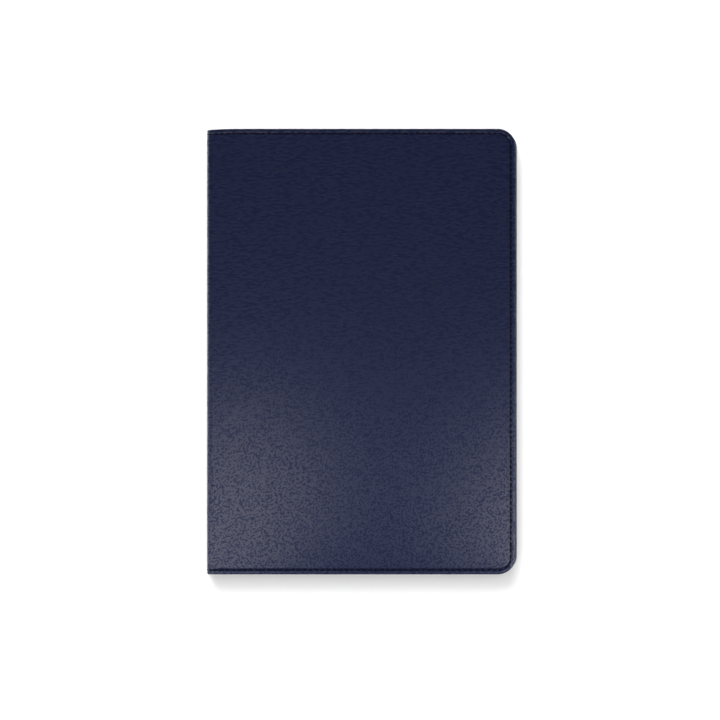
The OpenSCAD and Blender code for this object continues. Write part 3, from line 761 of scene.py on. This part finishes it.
film = printed("contact film", (0.66, 0.69, 0.66), (0.25, 0.27, 0.28), 260.0, 0.05, (0.2, 0.32))
solder_mask = printed("green solder mask", (0.008, 0.085, 0.035), (0.030, 0.17, 0.07), 420.0, 0.09,
                      (0.22, 0.36))
finish_node(film, "membrane")
finish_node(solder_mask, "controller_board")
foil = spotted("battery foil", (0.42, 0.43, 0.45), (0.56, 0.57, 0.58), 260.0, (0.22, 0.40), 0.03 * MM,
               Metallic=1.0)
tinned = spotted("tinned steel", (0.55, 0.55, 0.56), (0.66, 0.66, 0.67), 1200.0, (0.20, 0.34), 0.004 * MM,
                 Metallic=1.0)
finish_node(foil, "battery")
finish_node(tinned, "charging_port")
switch_black = moulded("switch plastic", (0.010, 0.010, 0.012), (0.016, 0.016, 0.019), (0.3, 0.45))
button_grey = moulded("button plastic", (0.55, 0.56, 0.58), (0.63, 0.64, 0.66), (0.18, 0.28),
                      Coat_Weight=0.4)
light_white = moulded("light pipe plastic", (0.66, 0.72, 0.78), (0.76, 0.81, 0.86), (0.12, 0.2),
                      Coat_Weight=0.5)
finish_node(switch_black, "power_switch")
finish_node(button_grey, "pairing_button")
finish_node(light_white, "light_pipes")

# ---- Battery leads ----
# Two soft insulated wires, 0.8 mm thick, run from the battery to the board's connector with a little slack.
keyboard_x, keyboard_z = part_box("keyboard_base")[1][0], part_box("keyboard_base")[1][2]


def from_keys(u, v, w):
    """The case's place of a point of the keyboard: u to the typist's right, v away from the typist, w up."""
    return np.stack(np.broadcast_arrays(keyboard_x - v, -u, keyboard_z - w), -1)


wire_cover = spotted("wire insulation", (0.36, 0.012, 0.010), (0.50, 0.020, 0.016), 900.0, (0.35, 0.5),
                     0.01 * MM)
lead_r = 0.4 * MM
lead_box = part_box("battery_leads")
along = np.linspace(-lead_box[1][1], -lead_box[0][1], 25)
t = np.linspace(0, 1, 25)
a = np.arange(12) * math.pi / 6
for k, v in enumerate((106, 109)):
    middle_v = (v - 0.4 * np.sin(3 * math.pi * t) * (1 - 2 * k)) * MM
    middle_w = (2.2 - 0.7 * np.sin(math.pi * t)) * MM
    rings = from_keys(along[:, None], middle_v[:, None] + lead_r * np.cos(a),
                      middle_w[:, None] + lead_r * np.sin(a))
    lead = ring_piece("battery_lead_%d" % (k + 1), rings, (), wire_cover)
    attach(lead, "front")
    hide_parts("battery_leads")

# ---- Keys ----
# Every key is a hollow cap of matt black plastic with a shallow dish, standing on a silicone dome that
# springs it back. Plain legends are printed on the tops.
key_pitch, row_pitch, rows_v, function_d = 16.5, 17.0, 5.5, 10.5
row_units = [[1, 1, 1, 1, 5] + [1] * 5, [2] + [1] * 10 + [2], [1.5] + [1] * 11 + [1.5],
             [1.25] + [1] * 12 + [0.75], [0.8] + [1] * 12 + [1.2], [1] * 14]
cell_rows = []
for number, units in enumerate(row_units):
    ends = np.concatenate([[0], np.cumsum(units)]) * key_pitch - 7 * key_pitch
    depth = function_d if number == 5 else row_pitch
    cells = [[u, rows_v + number * row_pitch, right - u, depth] for u, right in zip(ends, ends[1:])]
    if number == 0:
        u, v, width, depth = cells[8]
        cells[8:9] = [[u, v, width, depth / 2], [u, v + depth / 2, width, depth / 2]]
    cell_rows.append(cells)
key_groups = [
    ("space_bar", 0, 4, 5, [""]),
    ("modifier_keys", 0, 0, 4, ["fn", "ctrl", "alt", "sym"]),
    ("modifier_keys", 0, 5, 7, ["alt", "ctrl"]),
    ("arrow_keys", 0, 7, 11, ["<", "v", "^", ">"]),
    ("left_shift_key", 1, 0, 1, ["shift"]),
    ("lower_letter_keys", 1, 1, 11, list("ZXCVBNM,./")),
    ("right_shift_key", 1, 11, 12, ["shift"]),
    ("caps_lock_key", 2, 0, 1, ["caps"]),
    ("home_letter_keys", 2, 1, 12, list("ASDFGHJKL;'")),
    ("enter_key", 2, 12, 13, ["enter"]),
    ("tab_key", 3, 0, 1, ["tab"]),
    ("upper_letter_keys", 3, 1, 14, list("QWERTYUIOP[]") + ["/"]),
    ("number_keys", 4, 0, 13, list("`1234567890-=")),
    ("backspace_key", 4, 13, 14, ["back"]),
    ("function_keys", 5, 0, 14, ["esc"] + ["f%d" % k for k in range(1, 13)] + ["del"]),
]
cap_black = moulded("keycap plastic", (0.010, 0.010, 0.012), (0.016, 0.016, 0.019), (0.38, 0.52))
legend_ink = spotted("legend ink", (0.52, 0.53, 0.55), (0.64, 0.65, 0.67), 2500.0, (0.5, 0.65), 0.003 * MM)
silicone = spotted("milky silicone", (0.60, 0.60, 0.57), (0.70, 0.70, 0.67), 1400.0, (0.38, 0.52),
                   0.006 * MM)
wall_rings = [(1.9, 4.9, 0.3), (1.9, 3.6, 0.5), (1.25, 3.6, 1.1), (1.1, 3.72, 1.2), (1.14, 4.9, 1.25),
              (1.25, 5.45, 1.4), (1.42, 5.70, 1.5), (1.75, 5.84, 1.6), (2.2, 5.88, 1.6), (3.2, 5.865, 1.8),
              (4.9, 5.835, 2.0)]
dome_line = np.array([(0.9, 1.9), (1.15, 1.82), (1.25, 1.5), (1.5, 0.85), (1.85, 0.42), (2.2, 0.3),
                      (2.6, 0.28), (2.6, 0), (1.75, 0), (1.35, 0.5), (0.95, 1.2), (0.5, 1.35)])


def cap_rings(cell):
    """Rings of 20 points up a key's cap: from the pocket's roof down inside, round the skirt, up to the
    dish."""
    u, v, width, depth = cell
    rings = []
    for inset, w, r in wall_rings:
        half = np.array([width, depth]) / 2 - min(inset, depth / 2 - 0.5)
        line = round_path(np.array([u + width / 2, v + depth / 2]), half, min(r, half.min() * 0.9), 5)[0]
        rings.append(np.column_stack([line, np.full(len(line), w)]))
    return np.array(rings)


def turned(line, u, v, w, count):
    """Rings of points, as a line of radii and heights turns about the upright axis at (u, v), from height
    w."""
    turn = np.arange(count) * 2 * math.pi / count
    r, rise = line[:, :1], line[:, 1:]
    points = np.broadcast_arrays(u + r * np.cos(turn), v + r * np.sin(turn), w + rise)
    return from_keys(*(np.array(points) * MM))


def legend(text, cell):
    """A legend's closed letters, centred on its key, as points and faces. Words are smaller than single
    letters."""
    curve = bpy.data.curves.new("legend", "FONT")
    curve.body, curve.extrude, curve.resolution_u = text, 0.012, 3
    curve.align_x = curve.align_y = "CENTER"
    words = bpy.data.objects.new("legend", curve)
    mesh = bpy.data.meshes.new_from_object(words)
    work = bmesh.new()
    work.from_mesh(mesh)
    bmesh.ops.remove_doubles(work, verts=work.verts, dist=1e-5)
    work.to_mesh(mesh)
    work.free()
    points = np.empty(len(mesh.vertices) * 3)
    mesh.vertices.foreach_get("co", points)
    points = points.reshape(-1, 3)
    faces = [list(face.vertices) for face in mesh.polygons]
    bpy.data.objects.remove(words)
    size = (4.0 if len(text) == 1 else 2.5) * (0.8 if cell[3] < 12 else 1)
    u, v, width, depth = cell
    flat = np.stack([u + width / 2 + points[:, 0] * size, v + depth / 2 + points[:, 1] * size,
                     5.85 + points[:, 2] * 1.6], -1)
    return from_keys(*(flat.T * MM)), faces


by_node = {}
for node, row, first, last, words in key_groups:
    cells = cell_rows[row][first:last]
    found = by_node.setdefault(node, ([], []))
    found[0].extend(cells)
    found[1].extend(zip(words, cells))
for node, (cells, labels) in by_node.items():
    body = node + ("_caps" if node.endswith("keys") else "_cap")
    caps = [(from_keys(*(np.moveaxis(cap_rings(cell), -1, 0) * MM)), ring_faces(len(wall_rings), 20))
            for cell in cells]
    piece = joined(node + "_keycaps", caps, cap_black)
    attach(piece, body)
    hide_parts(node)
    words = [legend(text, cell) for text, cell in labels if text]
    if words:
        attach(joined(node + "_legends", words, legend_ink), body)
    domes = [(turned(dome_line, u + width / 2, v + depth / 2, 1.7, 14), ring_faces(len(dome_line), 14))
             for u, v, width, depth in cells]
    piece = joined(node + "_domes", domes, silicone)
    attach(piece, "front")
    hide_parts("rubber_domes")
    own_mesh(piece)

# ---- Screen bumpers ----
# Four soft rubber domes near the keyboard's corners keep the keys off the tablet's glass.
bumper_rubber = spotted("bumper rubber", (0.012, 0.012, 0.013), (0.020, 0.020, 0.022), 1600.0, (0.6, 0.8),
                        0.01 * MM)
angle = np.linspace(0.02, 1, 9) * math.pi / 2
line = np.concatenate([[(0.3, 0), (1.7, 0), (1.85, 0.1), (1.9, 0.3)],
                       np.stack([1.9 * np.cos(angle * 0.98), 0.35 + 0.75 * np.sin(angle)], -1)])
bumpers = [(turned(line, u, v, 5, 24), ring_faces(len(line), 24)) for u in (-113, 113) for v in (3, 116)]
piece = joined("screen_bumper_domes", bumpers, bumper_rubber)
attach(piece, "front")
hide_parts("screen_bumpers")

# ---- Studio ----
# A plain white floor. The main light, behind the case and to its left, and a broad top light give plain
# light. Two low lights close to the case and a strip light on each side give only sheen. The dim sky is
# brighter towards the horizon, and the camera looks straight down.
floor_white, tree, shader = new_finish("floor white", Base_Color=(0.9, 0.9, 0.9, 1), Roughness=0.9,
                                       Specular_IOR_Level=0.0)
floor_corners = [(x, y, -0.5 * MM) for x, y in ((-4, -4), (4, -4), (4, 4), (-4, 4))]
floor = new_piece("floor", floor_corners, [(0, 1, 2, 3)], (), floor_white)


def soft_light(name, at, aim, size, watts, sheen):
    """A rectangular area light that faces a point. It gives only sheen, or only plain light without
    sheen."""
    lamp = bpy.data.lights.new(name, "AREA")
    lamp.shape, lamp.size, lamp.size_y, lamp.energy = "RECTANGLE", *size, watts
    lamp.color = (1, 0.93, 0.80) if sheen else (1, 1, 1)
    holder = bpy.data.objects.new(name, lamp)
    holder.location = at
    holder.rotation_euler = (Vector(at) - Vector(aim)).to_track_quat("Z", "Y").to_euler()
    holder.visible_glossy, holder.visible_diffuse, holder.visible_camera = sheen, not sheen, False
    bpy.context.scene.collection.objects.link(holder)


soft_light("main light", (-0.21, 0.74, 1.40), (0, 0, 0), (0.85, 0.85), 24.5, False)
soft_light("top light", (0.0, -0.3, 2.4), (0, 0, 0), (1.8, 1.8), 54.0, False)
soft_light("left sheen light", (-0.10, -0.125, 0.175), (-0.05, -0.05, 0), (0.09, 0.20), 0.178, True)
soft_light("right sheen light", (0.135, -0.13, 0.165), (0.05, -0.05, 0), (0.09, 0.20), 0.175, True)
soft_light("left strip light", (-0.30, -0.16, 0.20), (-0.09, -0.04, 0), (0.22, 0.26), 0.40, True)
soft_light("right strip light", (0.30, -0.16, 0.20), (0.09, -0.04, 0), (0.22, 0.26), 0.45, True)
sky = bpy.data.worlds.new("studio")
sky.use_nodes = True
tree = sky.node_tree
tree.nodes.clear()
height = parts_of(tree, place(tree, "ShaderNodeTexCoord").outputs["Generated"])[2]
glow = span_of(tree, height, 0.1, 0.60, 0.45, 0.02)
back = place(tree, "ShaderNodeBackground", {"Color": (1, 1, 1, 1), "Strength": glow})
tree.links.new(back.outputs[0], place(tree, "ShaderNodeOutputWorld").inputs[0])
bpy.context.scene.world = sky
lens = bpy.data.cameras.new("camera")
lens.lens, lens.clip_start = 218.55, 0.01
camera = bpy.data.objects.new("camera", lens)
camera.location = (-0.0014, -0.0048, case_top + 2.5)
bpy.context.scene.collection.objects.link(camera)
bpy.context.scene.camera = camera
bpy.context.scene.view_settings.view_transform = "Standard"
